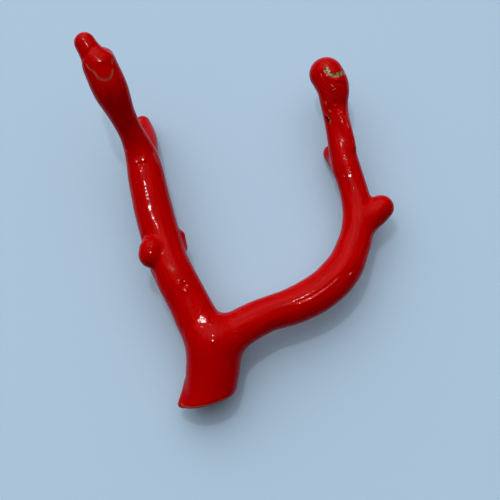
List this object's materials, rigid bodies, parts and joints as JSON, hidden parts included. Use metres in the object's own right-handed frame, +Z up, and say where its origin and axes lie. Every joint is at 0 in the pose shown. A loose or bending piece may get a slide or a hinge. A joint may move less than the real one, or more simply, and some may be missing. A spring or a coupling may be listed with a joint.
{
  "type": "polished coral branch",
  "caption": "Polished red coral branch, sawn flat at the foot, forking into a rising knobbed branch and a curved one; lies on a surface.",
  "frame": {"origin": "centre of the branch's bounding box, on the surface that it lies on", "axes": "+Z up; +Y along the branch, from the sawn foot to the tips; +X towards the curved right branch"},
  "size_m": [0.0528, 0.0604, 0.0247],
  "materials": {
    "polished_coral": "gloss"
  },
  "bodies": {
    "root": {"trunk": "polished_coral", "left_branch": "polished_coral", "right_branch": "polished_coral"}
  },
  "joints": []
}
